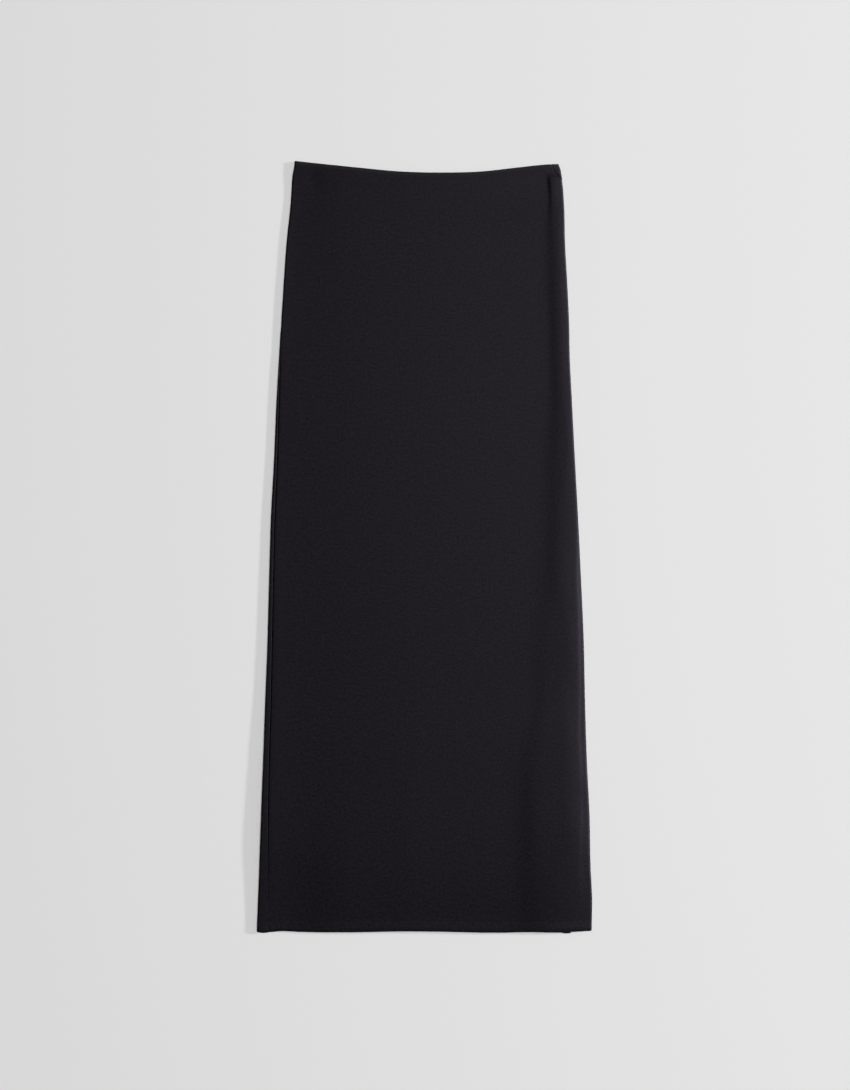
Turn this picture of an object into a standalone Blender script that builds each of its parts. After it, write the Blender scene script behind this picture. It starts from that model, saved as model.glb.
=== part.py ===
"""Maxi skirt: a tube of black stretch knit, sewn from a front and a back panel, laid flat.

Frame: metres, +Z up. The underside lies on z = 0, the waist points to +Y and +X is the
right-hand side of the laid skirt as its front is looked at. The origin is on the surface
under the middle of the outline.

Each panel is one wall of cloth. Its path starts inside at the cut edge of the waist
allowance, turns over the waist fold, runs down the skirt, turns under at the hem fold and
ends at the cut edge of the hem allowance. Across the skirt every row of that path follows
one closed loop: the upper layer, the soft roll at each side and the flat underside. The two
side seams part the loop into the front and the back panel. They wander round the rolls, as
a knitted tube twists a little when it is laid down.
"""

import math

import bpy
import numpy as np

MM = 0.001

# ------------------------------------------------------------------ driving sizes
CLOTH = 1.1 * MM            # thickness of the knit
GAP = 0.3 * MM              # clearance between layers and along the seams
LENGTH = 980.8 * MM         # from the waist's upper corner to the hem's lowest corner
ALLOWANCE = 13.0 * MM       # cloth turned in at the waist and turned up at the hem

SHOULDER_REACH = 8.0 * MM   # how far in from the side the upper half of a roll reaches
TUCK_REACH = 4.0 * MM       # how far in the lower half of a roll reaches
SHOULDER_BLEND = 26.0 * MM  # width over which a roll settles down to the laid layer
BAND_BLEND = 30.0 * MM      # length over which a doubled edge settles to single cloth

# Heights above the surface: for single cloth, and where waist and hem are doubled.
ROLL_TOP = 5.3 * MM
ROLL_TOP_DOUBLED = 6.7 * MM
ROLL_SIDE = 2.6 * MM
ROLL_SIDE_DOUBLED = 3.3 * MM
LAID_TOP = 3.6 * MM
LAID_TOP_DOUBLED = 5.5 * MM
SWELL_WHERE_DOUBLED = 0.5   # share of a swell that is left where the cloth is doubled

# ------------------------------------------------------------------ tables, in millimetres
# Outline and seams, a row for each section. "down" runs from the waist to the hem, "left"
# and "right" are the distances from the middle line to the outermost line of the rolls.
# The seams are measured round the loop from that line: over the top at the left, and
# underneath at the right.
OUTLINE_COLUMNS = ("down", "left", "right", "left_seam_over", "right_seam_under")
OUTLINE = (
    (0.0, 164.7, 170.5, -7.0, -7.0),
    (6.0, 165.3, 172.8, -6.9, -4.6),
    (18.0, 167.5, 174.8, -6.6, -1.4),
    (50.0, 169.6, 177.4, -6.0, 2.0),
    (100.0, 174.8, 178.7, -4.8, 4.0),
    (150.0, 178.4, 181.4, -3.2, 5.5),
    (200.0, 181.7, 183.7, -1.2, 7.0),
    (250.0, 184.7, 184.7, 2.6, 8.4),
    (300.0, 187.6, 187.2, 5.6, 9.8),
    (380.0, 191.0, 191.3, 6.6, 12.0),
    (455.0, 195.0, 195.3, 7.2, 14.0),
    (530.0, 197.2, 198.9, 7.9, 16.0),
    (610.0, 199.3, 202.4, 8.5, 18.0),
    (685.0, 202.1, 204.0, 9.3, 20.0),
    (760.0, 204.8, 206.2, 10.0, 21.8),
    (835.0, 207.6, 209.7, 11.0, 23.6),
    (900.0, 209.8, 211.0, 13.0, 25.2),
    (940.0, 211.3, 212.9, 15.0, 26.4),
    (980.8, 212.9, 212.4, 17.0, 27.4),
)

# Waist line of the front: how far it lies below the upper left corner.
WAIST_COLUMNS = ("across", "front_drop", "back_drop")
WAIST = (
    (-165.0, 0.0, 0.0),
    (-132.0, 3.6, 4.6),
    (-82.0, 8.8, 10.8),
    (-31.0, 13.5, 15.9),
    (26.0, 14.9, 17.5),
    (71.0, 13.6, 15.9),
    (121.0, 8.2, 10.2),
    (153.0, 4.9, 5.9),
    (171.0, 4.0, 4.0),
)

# Hem line: how far each panel's fold lies above the lowest corner of the hem.
HEM_COLUMNS = ("across", "front_rise", "back_rise")
HEM = (
    (-213.0, 2.4, 2.2),
    (-205.0, 2.2, 1.0),
    (-196.0, 2.0, 1.8),
    (-183.0, 3.1, 4.2),
    (-158.0, 2.2, 4.4),
    (-94.0, 1.9, 4.2),
    (-25.0, 3.1, 4.8),
    (20.0, 2.7, 4.6),
    (90.0, 1.4, 3.6),
    (134.0, 2.2, 3.4),
    (172.0, 1.9, 1.2),
    (180.0, 2.2, 0.0),
    (187.0, 2.6, 0.5),
    (196.0, 3.0, 1.0),
    (213.0, 3.7, 1.4),
)

# Soft swells and troughs of the upper layer, a row for each. The places go from -1 at the
# left edge to 1 at the right, at the waist, half way down and at the hem.
FOLD_COLUMNS = (
    "waist_place", "middle_place", "hem_place", "half_width",
    "waist_lift", "middle_lift", "hem_lift",
)
FOLDS = {
    "left trough": (-0.66, -0.62, -0.52, 44.0, -0.7, -0.5, -0.7),
    "middle swell": (-0.10, 0.05, 0.12, 120.0, 0.8, 0.9, 0.9),
    "right trough": (0.84, 0.76, 0.52, 26.0, -0.6, -0.6, -0.7),
    "right swell": (0.96, 0.90, 0.74, 40.0, 0.2, 0.6, 2.0),
    "hem ripple": (-0.20, -0.14, -0.08, 30.0, 0.0, 0.0, 0.8),
}

# ------------------------------------------------------------------ fineness of the mesh
LOOP_SAMPLES = 60           # samples of each quarter roll when the loop is measured
LAYER_SAMPLES = 400         # samples of each laid layer when the loop is measured
TURN_STEP = math.radians(20)  # a column for each such turn of the cloth round a roll
FRONT_STEP = 12.0 * MM      # spacing of the front panel's columns where the cloth lies flat
BACK_STEP = 24.0 * MM       # the same for the back panel, which is flat underneath
BODY_ROWS = 21              # rows down the body of a panel
FOLD_ROWS = 4               # turns of the wall over a waist or hem fold
ALLOWANCE_ROWS = 2          # rows up an allowance, and beside it on the right side
BAND_ROWS = 3               # steps over which a doubled edge settles

SHARP_ANGLE = math.radians(50)  # edges that turn more than this are not shaded smooth

# ------------------------------------------------------------------ finish
KNIT_COLOUR = (0.0145, 0.0135, 0.0165, 1.0)
KNIT_ROUGHNESS = 0.85
KNIT_SHEEN = 0.2


def column(rows, names, name):
    """One named column of a table in millimetres, in metres."""
    return np.array([row[names.index(name)] for row in rows]) * MM


def curve_through(at, places, values):
    """A smooth curve through (places, values), read at each entry of at.

    Between two places it is the cubic Hermite curve whose slopes are those of the table.
    """
    slopes = np.gradient(values, places)
    left = np.clip(np.searchsorted(places, at) - 1, 0, len(places) - 2)
    span = places[left + 1] - places[left]
    t = np.clip((at - places[left]) / span, 0.0, 1.0)
    return (
        (2 * t**3 - 3 * t**2 + 1) * values[left]
        + (t**3 - 2 * t**2 + t) * span * slopes[left]
        + (3 * t**2 - 2 * t**3) * values[left + 1]
        + (t**3 - t**2) * span * slopes[left + 1]
    )


def ease(t):
    """0 to 1 with level ends, as t goes from 0 to 1."""
    t = np.clip(t, 0.0, 1.0)
    return t * t * (3 - 2 * t)


def outline_at(share, name):
    """A column of the outline table, at a share of the way from waist to hem."""
    down = column(OUTLINE, OUTLINE_COLUMNS, "down")
    return curve_through(share * LENGTH, down, column(OUTLINE, OUTLINE_COLUMNS, name))


def doubled(share):
    """1 where the cloth is doubled at the waist or the hem, 0 along the body."""
    to_edge = np.minimum(share, 1.0 - share) * LENGTH
    return 1.0 - ease((to_edge - ALLOWANCE) / BAND_BLEND)


def swells(across, share):
    """Lift of the laid upper layer by the soft swells and troughs.

    Each is a bell, exp(-(distance / half width)^2), whose place and lift run through the
    table's values at the waist, the middle and the hem.
    """
    stops = np.array([0.0, 0.5, 1.0])
    total = np.zeros(np.broadcast(across, share).shape)
    for row in FOLDS.values():
        fold = dict(zip(FOLD_COLUMNS, row))
        places = np.array([fold["waist_place"], fold["middle_place"], fold["hem_place"]])
        lifts = np.array([fold["waist_lift"], fold["middle_lift"], fold["hem_lift"]]) * MM
        place = curve_through(share, stops, places)
        lift = curve_through(share, stops, lifts)
        half_outline = (outline_at(share, "left") + outline_at(share, "right")) / 2
        middle = (outline_at(share, "right") - outline_at(share, "left")) / 2
        distance = across - middle - place * half_outline
        total = total + lift * np.exp(-((distance / (fold["half_width"] * MM)) ** 2))
    return total


def loop_at(share):
    """The skirt's section at each share of its length, as one closed loop.

    It starts at the left side, runs over the upper layer to the right side and back along
    the underside. Returned are x, z and the inward direction (x, z) of the outer face, all
    with a row for each share. A roll is an upper quarter ellipse on a lower one. Inward is
    (cos, sin) of the ellipse's own angle, so an inner face is an ellipse inside it.
    """
    share = share[:, None]
    left = -outline_at(share, "left")
    right = outline_at(share, "right")
    band = doubled(share)
    side = ROLL_SIDE + (ROLL_SIDE_DOUBLED - ROLL_SIDE) * band
    top = ROLL_TOP + (ROLL_TOP_DOUBLED - ROLL_TOP) * band
    laid = LAID_TOP + (LAID_TOP_DOUBLED - LAID_TOP) * band

    rise = np.linspace(0.0, math.pi / 2, LOOP_SAMPLES)[None, :-1]
    fall = rise[:, ::-1] + rise[0, 1]
    inner_left = left + SHOULDER_REACH
    inner_right = right - SHOULDER_REACH
    along = np.linspace(0.0, 1.0, LAYER_SAMPLES)[None, :]
    across = inner_left + (inner_right - inner_left) * along
    from_roll = np.minimum(across - inner_left, inner_right - across)
    settled = ease(from_roll / SHOULDER_BLEND)
    kept = 1.0 - (1.0 - SWELL_WHERE_DOUBLED) * band
    layer = top + (laid + swells(across, share) * kept - top) * settled

    under = (right - TUCK_REACH) + (left - right + 2 * TUCK_REACH) * along
    zero = np.zeros_like(share)

    parts = (
        # left roll, upper quarter
        (left + SHOULDER_REACH * (1 - np.cos(rise)), side + (top - side) * np.sin(rise),
         np.cos(rise), -np.sin(rise)),
        # upper layer
        (across, layer, 0 * along, 0 * along - 1.0),
        # right roll, upper quarter
        (right - SHOULDER_REACH * (1 - np.cos(fall)), side + (top - side) * np.sin(fall),
         -np.cos(fall), -np.sin(fall)),
        # right roll, lower quarter
        (right - TUCK_REACH * (1 - np.cos(rise)), side * (1 - np.sin(rise)),
         -np.cos(rise), np.sin(rise)),
        # underside
        (under, 0 * under, 0 * along, 0 * along + 1.0),
        # left roll, lower quarter
        (left + TUCK_REACH * (1 - np.cos(fall)), side * (1 - np.sin(fall)),
         np.cos(fall), np.sin(fall)),
        # back at the start
        (left, side, zero + 1.0, zero),
    )
    rows = len(share)
    joined = []
    for quantity in range(4):
        joined.append(np.concatenate(
            [np.broadcast_to(part[quantity], (rows, part[quantity].shape[1])) for part in parts],
            axis=1,
        ))
    return joined


def column_count(step):
    """How many columns a panel has, at that spacing where it lies flat."""
    names = ("left", "right")
    widest = sum(column(OUTLINE, OUTLINE_COLUMNS, name).max() for name in names)
    return round(widest / step) + 2 * round(math.pi / TURN_STEP)


def panel_columns(share, is_front, step):
    """Where the columns of a panel cross each row's loop.

    The loop is measured as its length over the step plus its turn over TURN_STEP, so that
    columns crowd round the rolls, and the panel's stretch of it is cut in equal parts.
    """
    x, z, inward_x, inward_z = loop_at(share)
    ahead = (x[:, 1:] - x[:, :-1], z[:, 1:] - z[:, :-1])
    lengths = np.hypot(*ahead)
    turn = np.hypot(np.diff(inward_x, axis=1), np.diff(inward_z, axis=1))
    length = np.pad(np.cumsum(lengths, axis=1), ((0, 0), (1, 0)))
    crowd = np.pad(np.cumsum(lengths / step + turn / TURN_STEP, axis=1), ((0, 0), (1, 0)))

    right_side = 2 * (LOOP_SAMPLES - 1) + LAYER_SAMPLES
    left_seam = outline_at(share, "left_seam_over")
    right_seam = length[:, right_side] + outline_at(share, "right_seam_under")
    if is_front:
        start, end = left_seam + GAP / 2, right_seam - GAP / 2
    else:
        start, end = right_seam + GAP / 2, length[:, -1] + left_seam - GAP / 2

    count = column_count(step)
    found = np.empty((4, len(share), count))
    for row in range(len(share)):
        whole = length[row, -1]
        measured = np.concatenate([length[row, :-1] - whole, length[row, :-1],
                                   length[row] + whole])
        total = crowd[row, -1]
        crowded = np.concatenate([crowd[row, :-1] - total, crowd[row, :-1],
                                  crowd[row] + total])
        from_crowd, to_crowd = np.interp((start[row], end[row]), measured, crowded)
        wanted = np.interp(np.linspace(from_crowd, to_crowd, count), crowded, measured)
        for index, line in enumerate((x, z, inward_x, inward_z)):
            three_times = np.concatenate([line[row, :-1], line[row, :-1], line[row]])
            found[index, row] = np.interp(wanted, measured, three_times)
    return found


def wall_path():
    """The path of a panel's wall, from the waist allowance to the hem allowance.

    Each station is (share of the length, way beyond the edge, depth) for the right side of
    the cloth and (beyond, depth) for its wrong side. Over a fold the right side is a half
    circle of radius CLOTH + GAP / 2 about the line between the doubled layers, and the
    wrong side one of radius GAP / 2.
    """
    outer = CLOTH + GAP / 2
    inner = GAP / 2
    doubled_shares = np.linspace(0.0, ALLOWANCE / LENGTH, ALLOWANCE_ROWS + 1)
    band = ALLOWANCE + BAND_BLEND * np.linspace(0.0, 1.0, BAND_ROWS + 1)[1:-1]
    near_edge = np.concatenate([doubled_shares, band / LENGTH])
    body_start = (ALLOWANCE + BAND_BLEND) / LENGTH
    body = np.linspace(body_start, 1.0 - body_start, BODY_ROWS)
    stations = []
    for share in doubled_shares[:0:-1]:
        stations.append((share, 0.0, 2 * outer, 0.0, outer + inner))
    for angle in np.linspace(math.pi, 0.0, FOLD_ROWS, endpoint=False):
        stations.append((0.0, outer * math.sin(angle), outer - outer * math.cos(angle),
                         inner * math.sin(angle), outer - inner * math.cos(angle)))
    for share in np.concatenate([near_edge, body, 1.0 - near_edge[::-1]]):
        stations.append((share, 0.0, 0.0, 0.0, CLOTH))
    for angle in np.linspace(0.0, math.pi, FOLD_ROWS + 1)[1:]:
        stations.append((1.0, -outer * math.sin(angle), outer - outer * math.cos(angle),
                         -inner * math.sin(angle), outer - inner * math.cos(angle)))
    for share in doubled_shares[1:]:
        stations.append((1.0 - share, 0.0, 2 * outer, 0.0, outer + inner))
    return np.array(stations)


def lengthwise(across, share, drop_name, rise_name):
    """y of a point: between the waist line and the hem line at its place across."""
    fold = CLOTH + GAP / 2
    waist_across = column(WAIST, WAIST_COLUMNS, "across")
    hem_across = column(HEM, HEM_COLUMNS, "across")
    drop = curve_through(across, waist_across, column(WAIST, WAIST_COLUMNS, drop_name))
    rise = curve_through(across, hem_across, column(HEM, HEM_COLUMNS, rise_name))
    waist_y = LENGTH / 2 - drop - fold
    hem_y = -LENGTH / 2 + rise + fold
    return waist_y + (hem_y - waist_y) * share


def wall_points(is_front, step):
    """Grids of points on the right and on the wrong side of a panel's cloth."""
    path = wall_path()
    share, beyond_out, depth_out, beyond_in, depth_in = path.T
    x, z, inward_x, inward_z = panel_columns(share, is_front, step)
    names = ("front_drop", "front_rise") if is_front else ("back_drop", "back_rise")
    y = lengthwise(x, share[:, None], *names)
    right_side = np.stack([x + inward_x * depth_out[:, None], y + beyond_out[:, None],
                           z + inward_z * depth_out[:, None]], axis=-1)
    wrong_side = np.stack([x + inward_x * depth_in[:, None], y + beyond_in[:, None],
                           z + inward_z * depth_in[:, None]], axis=-1)
    return right_side, wrong_side


def wall_mesh(name, right_side, wrong_side):
    """One closed body between two grids of points, faces outwards."""
    rows, columns, _ = right_side.shape
    index = np.arange(rows * columns).reshape(rows, columns)
    behind = index + rows * columns

    def quads(a, b, c, d):
        return np.stack([a, b, c, d], axis=-1).reshape(-1, 4)

    faces = np.concatenate([
        quads(index[:-1, :-1], index[1:, :-1], index[1:, 1:], index[:-1, 1:]),
        quads(behind[:-1, :-1], behind[:-1, 1:], behind[1:, 1:], behind[1:, :-1]),
        quads(index[:-1, 0], behind[:-1, 0], behind[1:, 0], index[1:, 0]),
        quads(index[:-1, -1], index[1:, -1], behind[1:, -1], behind[:-1, -1]),
        quads(index[0, :-1], index[0, 1:], behind[0, 1:], behind[0, :-1]),
        quads(index[-1, :-1], behind[-1, :-1], behind[-1, 1:], index[-1, 1:]),
    ])
    points = np.concatenate([right_side.reshape(-1, 3), wrong_side.reshape(-1, 3)])
    mesh = bpy.data.meshes.new(name)
    mesh.from_pydata(points.tolist(), [], faces.tolist())
    mesh.validate()
    mesh.shade_smooth()
    mesh.set_sharp_from_angle(angle=SHARP_ANGLE)
    return mesh


def knit_material():
    """Black stretch knit, matt with a faint sheen."""
    material = bpy.data.materials.new("black_knit")
    material.use_nodes = True
    shader = material.node_tree.nodes["Principled BSDF"]
    shader.inputs["Base Color"].default_value = KNIT_COLOUR
    shader.inputs["Roughness"].default_value = KNIT_ROUGHNESS
    shader.inputs["Metallic"].default_value = 0.0
    shader.inputs["Sheen Weight"].default_value = KNIT_SHEEN
    return material


def add_panel(name, is_front, step, material):
    """Build a panel and link it to the scene."""
    mesh = wall_mesh(name, *wall_points(is_front, step))
    mesh.materials.append(material)
    panel = bpy.data.objects.new(name, mesh)
    bpy.context.scene.collection.objects.link(panel)


def main():
    for old in list(bpy.data.objects):
        bpy.data.objects.remove(old, do_unlink=True)
    knit = knit_material()
    add_panel("front_panel", True, FRONT_STEP, knit)
    add_panel("back_panel", False, BACK_STEP, knit)


main()
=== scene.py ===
# %% [markdown]
# # A maxi skirt, laid flat
#
# The real skirt is a tube of black stretch knit, sewn from a front and a back panel. It
# lies on its back panel, front up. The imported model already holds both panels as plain
# solids of the right size. This lesson builds each panel again as a thin soft shell on the
# same form, sews the hem, and lights it like a flat-lay table.
#
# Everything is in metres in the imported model's frame: +Z is up, +Y points to the waist, +X
# to the right, and the origin lies under the middle of the outline.

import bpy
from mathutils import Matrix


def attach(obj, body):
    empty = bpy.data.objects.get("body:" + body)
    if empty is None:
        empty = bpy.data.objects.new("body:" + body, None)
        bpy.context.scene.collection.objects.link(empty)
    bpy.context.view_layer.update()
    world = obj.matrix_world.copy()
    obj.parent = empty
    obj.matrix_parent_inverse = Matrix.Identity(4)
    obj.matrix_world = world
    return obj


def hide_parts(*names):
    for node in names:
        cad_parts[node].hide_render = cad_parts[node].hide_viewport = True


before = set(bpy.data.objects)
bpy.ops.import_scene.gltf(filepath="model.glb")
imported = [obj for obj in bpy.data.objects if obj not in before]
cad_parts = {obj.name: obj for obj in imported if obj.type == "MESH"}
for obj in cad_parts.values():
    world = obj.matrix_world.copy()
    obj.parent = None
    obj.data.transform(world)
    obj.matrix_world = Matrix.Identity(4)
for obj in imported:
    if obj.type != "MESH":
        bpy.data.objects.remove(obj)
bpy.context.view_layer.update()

# %% [markdown]
# ## Sizes and tables
#
# A pattern cutter writes a garment down as a few sizes and some short tables, and so does
# this script. Tables are in millimetres. `table` turns one into named columns in metres,
# and `read` draws a smooth curve through a column, so that eight or ten rows describe an
# edge a metre long. A Bezier curve object would do as well, but a formula can be read at
# thousands of places at once.

# %% Helpers for tables
import math

import bpy
import numpy as np
from mathutils import Vector

MM = 0.001


def table(columns, *rows):
    """A table in millimetres as {column name: its values in metres}."""
    return dict(zip(columns.split(), np.array(rows, float).T * MM))


def read(rows, at_column, at, column):
    """A smooth curve through a table's column, read wherever at_column has the value at.

    Between two rows it is the cubic that keeps the table's value and its slope at both
    ends: (2t3 - 3t2 + 1) a + (3t2 - 2t3) b plus the two slopes, weighted the same way.
    """
    places, values = rows[at_column], rows[column]
    slopes = np.gradient(values, places)
    row = np.clip(np.searchsorted(places, at) - 1, 0, len(places) - 2)
    span = places[row + 1] - places[row]
    t = np.clip((at - places[row]) / span, 0.0, 1.0)
    return ((2 * t**3 - 3 * t**2 + 1) * values[row] + (3 * t**2 - 2 * t**3) * values[row + 1]
            + span * ((t**3 - 2 * t**2 + t) * slopes[row] + (t**3 - t**2) * slopes[row + 1]))


def ease(t):
    """0 to 1 with level ends, 3t2 - 2t3, held at 0 and 1 outside."""
    t = np.clip(t, 0.0, 1.0)
    return t * t * (3 - 2 * t)


test_rows = table("at value", (0.0, 0.0), (10.0, 4.0), (20.0, 4.0))
test_value = read(test_rows, "at", 5.0 * MM, "value")
print("half way between rows of 0 and 4 mm the curve reads", round(test_value / MM, 2), "mm")

# %% Driving sizes
LENGTH = 980.8 * MM       # from the waist's upper corner to the hem's lowest corner
CLOTH = 0.85 * MM         # thickness of the shell
LAYER_GAP = 0.1 * MM      # between the cloth and the allowance folded under it
FOLD_RADIUS = CLOTH + LAYER_GAP / 2  # of the right side where it turns over an edge
ALLOWANCE = 13.0 * MM     # cloth turned in at the waist and turned up at the hem
NOSE_REACH = 2.3 * MM     # how far in the upper half of a turned side reaches
TUCK_REACH = 2.6 * MM     # how far in its lower half reaches
SEAM_GAP = 0.12 * MM      # between the two panels in the ditch of a side seam
HEM_GAP = 0.02 * MM       # between them at the hem's left, where the seam is pressed shut
print("cloth", round(CLOTH / MM, 2), "mm thick, skirt", round(LENGTH / MM), "mm long")

# %% [markdown]
# ## Outline, side seams, waist and hem
#
# The outline widens from the waist to the hem in a long, nearly straight line. Each side
# seam is measured round the skirt from the outermost line of its side: over the top at the
# left, and underneath at the right. Both wander, because a knitted tube twists a little
# when it is laid down: the left seam creeps onto the front, the right one slips under.
# Curves could be drawn along these lines by hand. Tables keep them as measures instead,
# which the panels' formulas can read at any place.

# %% Tables of the outline and the edges
OUTLINE = table(
    "down left right left_seam_over right_seam_under",
    (0.0, 164.7, 170.5, -7.0, -9.6),
    (6.0, 165.3, 172.8, -6.9, -9.0),
    (12.0, 166.4, 173.9, -6.8, -6.0),
    (18.0, 167.5, 174.8, -6.6, -0.6),
    (25.0, 168.1, 175.6, -6.4, 1.2),
    (50.0, 169.6, 177.4, -6.0, 2.6),
    (100.0, 174.8, 178.7, -4.8, 4.0),
    (150.0, 178.4, 181.4, -3.2, 5.5),
    (200.0, 181.7, 183.7, -1.4, 7.0),
    (250.0, 184.7, 184.7, 1.9, 8.4),
    (300.0, 187.6, 187.2, 3.7, 9.8),
    (380.0, 191.0, 191.3, 4.8, 12.0),
    (455.0, 195.0, 195.3, 5.7, 14.0),
    (530.0, 197.2, 198.9, 6.1, 16.0),
    (610.0, 199.3, 202.4, 6.7, 18.0),
    (685.0, 202.1, 204.0, 8.0, 20.0),
    (760.0, 204.8, 206.2, 8.4, 21.8),
    (835.0, 207.6, 209.7, 10.0, 23.6),
    (900.0, 209.8, 211.0, 11.8, 25.2),
    (940.0, 211.3, 212.9, 13.4, 26.4),
    (980.8, 212.9, 212.4, 15.4, 27.4),
)

# How far each panel's waist lies below the upper left corner.
WAIST = table(
    "across front back",
    (-165.0, 0.0, 0.0),
    (-132.0, 3.6, 4.6),
    (-82.0, 8.8, 10.8),
    (-31.0, 13.5, 15.9),
    (26.0, 14.9, 17.5),
    (71.0, 13.6, 15.9),
    (121.0, 8.2, 10.2),
    (153.0, 4.9, 5.6),
    (160.0, 4.5, 4.6),
    (166.0, 4.2, 4.2),
    (171.0, 4.0, 4.0),
)

# How far each panel's hem lies above the hem's lowest corner.
HEM = table(
    "across front back",
    (-213.0, 2.4, 2.2),
    (-205.0, 2.2, 1.0),
    (-196.0, 2.0, 1.8),
    (-183.0, 3.1, 4.2),
    (-158.0, 2.2, 4.4),
    (-94.0, 1.9, 4.2),
    (-25.0, 3.1, 4.8),
    (20.0, 2.7, 4.6),
    (90.0, 1.4, 3.6),
    (134.0, 2.2, 3.4),
    (172.0, 1.9, 1.2),
    (180.0, 2.2, 0.0),
    (187.0, 2.6, 0.5),
    (196.0, 3.0, 1.0),
    (213.0, 3.7, 1.4),
)
print("waist", round((OUTLINE["left"] + OUTLINE["right"])[0] / MM), "mm wide,",
      "hem", round((OUTLINE["left"] + OUTLINE["right"])[-1] / MM), "mm wide")

# %% [markdown]
# ## How high the cloth lies
#
# A laid skirt isn't flat. It lies a few millimetres high in the middle, slopes down to each
# side over a shoulder, and turns under there in a tight fold. One table gives the height
# between the shoulders, and each shoulder's drop and how far in it reaches. At the left the
# cloth stands up a little instead, so the drop there is negative.
#
# Where cloth lies on a seam allowance, or was pressed, it steps up. A step follows a side of
# the skirt: its rows give the distance from that side, the rise and the half width, and the
# height changes as `rise * (1 + tanh(distance / half width)) / 2`. Swells and short creases
# come from smoothing the cloth by hand. Each is a bell, `lift * exp(-(distance / half
# width)^2)`. They could be sculpted, but as rows of a table they can be tuned.

# %% Heights along the skirt
HEIGHTS = table(
    "down laid left_drop left_reach right_drop right_reach",
    (0.0, 4.70, 0.00, 10.0, 0.60, 12.0),
    (8.0, 4.65, 0.00, 10.0, 0.75, 12.0),
    (15.0, 4.30, -0.05, 12.0, 0.80, 12.0),
    (25.0, 3.75, -0.15, 14.0, 0.80, 13.0),
    (75.0, 3.45, -0.20, 16.0, 0.80, 11.0),
    (176.0, 3.40, -0.25, 20.0, 1.00, 12.0),
    (300.0, 3.50, -0.25, 20.0, 1.00, 13.0),
    (380.0, 3.70, -0.25, 20.0, 1.10, 12.0),
    (456.0, 4.00, -0.25, 22.0, 1.10, 34.0),
    (532.0, 4.40, -0.25, 26.0, 2.00, 33.0),
    (570.0, 4.60, -0.25, 30.0, 2.00, 27.0),
    (608.0, 4.80, -0.25, 34.0, 2.60, 23.0),
    (684.0, 5.20, -0.30, 44.0, 2.70, 36.0),
    (722.0, 5.70, -0.40, 52.0, 3.30, 31.0),
    (800.0, 6.40, -0.65, 66.0, 3.60, 34.0),
    (875.0, 7.15, -0.85, 76.0, 3.40, 36.0),
    (912.0, 7.05, -1.00, 80.0, 3.30, 52.0),
    (938.0, 6.55, -1.10, 80.0, 3.20, 58.0),
    (954.0, 6.10, -1.15, 80.0, 3.00, 58.0),
    (963.0, 5.86, -1.15, 80.0, 2.90, 58.0),
    (967.5, 5.80, -1.15, 80.0, 2.90, 58.0),
    (972.0, 5.86, -1.15, 80.0, 2.90, 58.0),
    (978.0, 5.94, -1.15, 80.0, 2.90, 58.0),
    (980.8, 5.80, -1.10, 80.0, 2.90, 58.0),
)
print("between the shoulders the cloth lies", round(HEIGHTS["laid"].min() / MM, 1), "to",
      round(HEIGHTS["laid"].max() / MM, 1), "mm high")

# %% Steps that follow the sides
STEP_COLUMNS = "down from_side rise half_width"
RIGHT_STEPS = {
    "onto the seam allowance": table(
        STEP_COLUMNS,
        (0.0, 16.4, 0.00, 1.6),
        (11.0, 16.6, 0.05, 1.6),
        (16.0, 16.8, 0.68, 1.7),
        (45.0, 17.6, 0.72, 2.2),
        (75.0, 18.6, 0.80, 4.5),
        (113.0, 19.0, 0.95, 6.6),
        (176.0, 20.4, 1.00, 6.2),
        (303.0, 21.8, 1.15, 7.8),
        (380.0, 28.8, 1.33, 11.4),
        (456.0, 32.5, 1.45, 12.2),
        (532.0, 40.0, 1.45, 14.5),
        (570.0, 48.0, 1.00, 15.0),
        (608.0, 56.0, 0.85, 14.0),
        (684.0, 58.6, 0.50, 7.0),
        (760.0, 74.2, 1.25, 14.3),
        (837.0, 80.5, 1.90, 13.0),
        (913.0, 80.6, 2.05, 15.5),
        (980.8, 80.6, 2.10, 17.0),
    ),
    "pressed line": table(
        STEP_COLUMNS,
        (395.0, 0.8, 0.00, 1.6),
        (456.0, 1.4, -1.00, 2.4),
        (494.0, 2.4, -1.40, 2.4),
        (532.0, 4.0, -1.45, 2.5),
        (570.0, 4.2, -1.40, 2.9),
        (608.0, 5.4, -0.85, 2.4),
        (646.0, 5.5, -1.15, 3.2),
        (684.0, 6.2, -1.10, 3.0),
        (722.0, 8.2, -0.55, 2.0),
        (760.0, 8.0, -0.70, 2.8),
        (799.0, 9.4, -0.25, 1.9),
        (837.0, 9.9, -0.57, 2.6),
        (875.0, 12.2, -0.36, 1.9),
        (913.0, 12.2, -0.35, 3.0),
        (955.0, 14.5, 0.00, 3.2),
    ),
}
LEFT_STEPS = {
    "left fold": table(
        STEP_COLUMNS,
        (0.0, 36.0, -0.80, 20.0),
        (50.0, 40.0, -0.80, 22.0),
        (100.0, 50.0, -0.65, 30.0),
        (200.0, 60.0, -0.50, 36.0),
        (400.0, 75.0, -0.60, 38.0),
        (600.0, 80.0, -0.80, 38.0),
        (760.0, 88.0, -1.00, 38.0),
        (850.0, 82.0, -1.30, 35.0),
        (880.0, 80.0, -1.60, 33.0),
        (912.0, 77.0, -2.40, 29.0),
        (980.8, 74.0, -2.40, 28.0),
    ),
    "left edge": table(
        STEP_COLUMNS,
        (800.0, 3.0, 0.00, 4.0),
        (860.0, 3.0, -0.10, 4.0),
        (912.0, 3.0, -0.17, 4.0),
        (980.8, 3.0, -0.17, 4.0),
    ),
}
print(len(RIGHT_STEPS), "steps follow the right side and", len(LEFT_STEPS), "the left")

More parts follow.
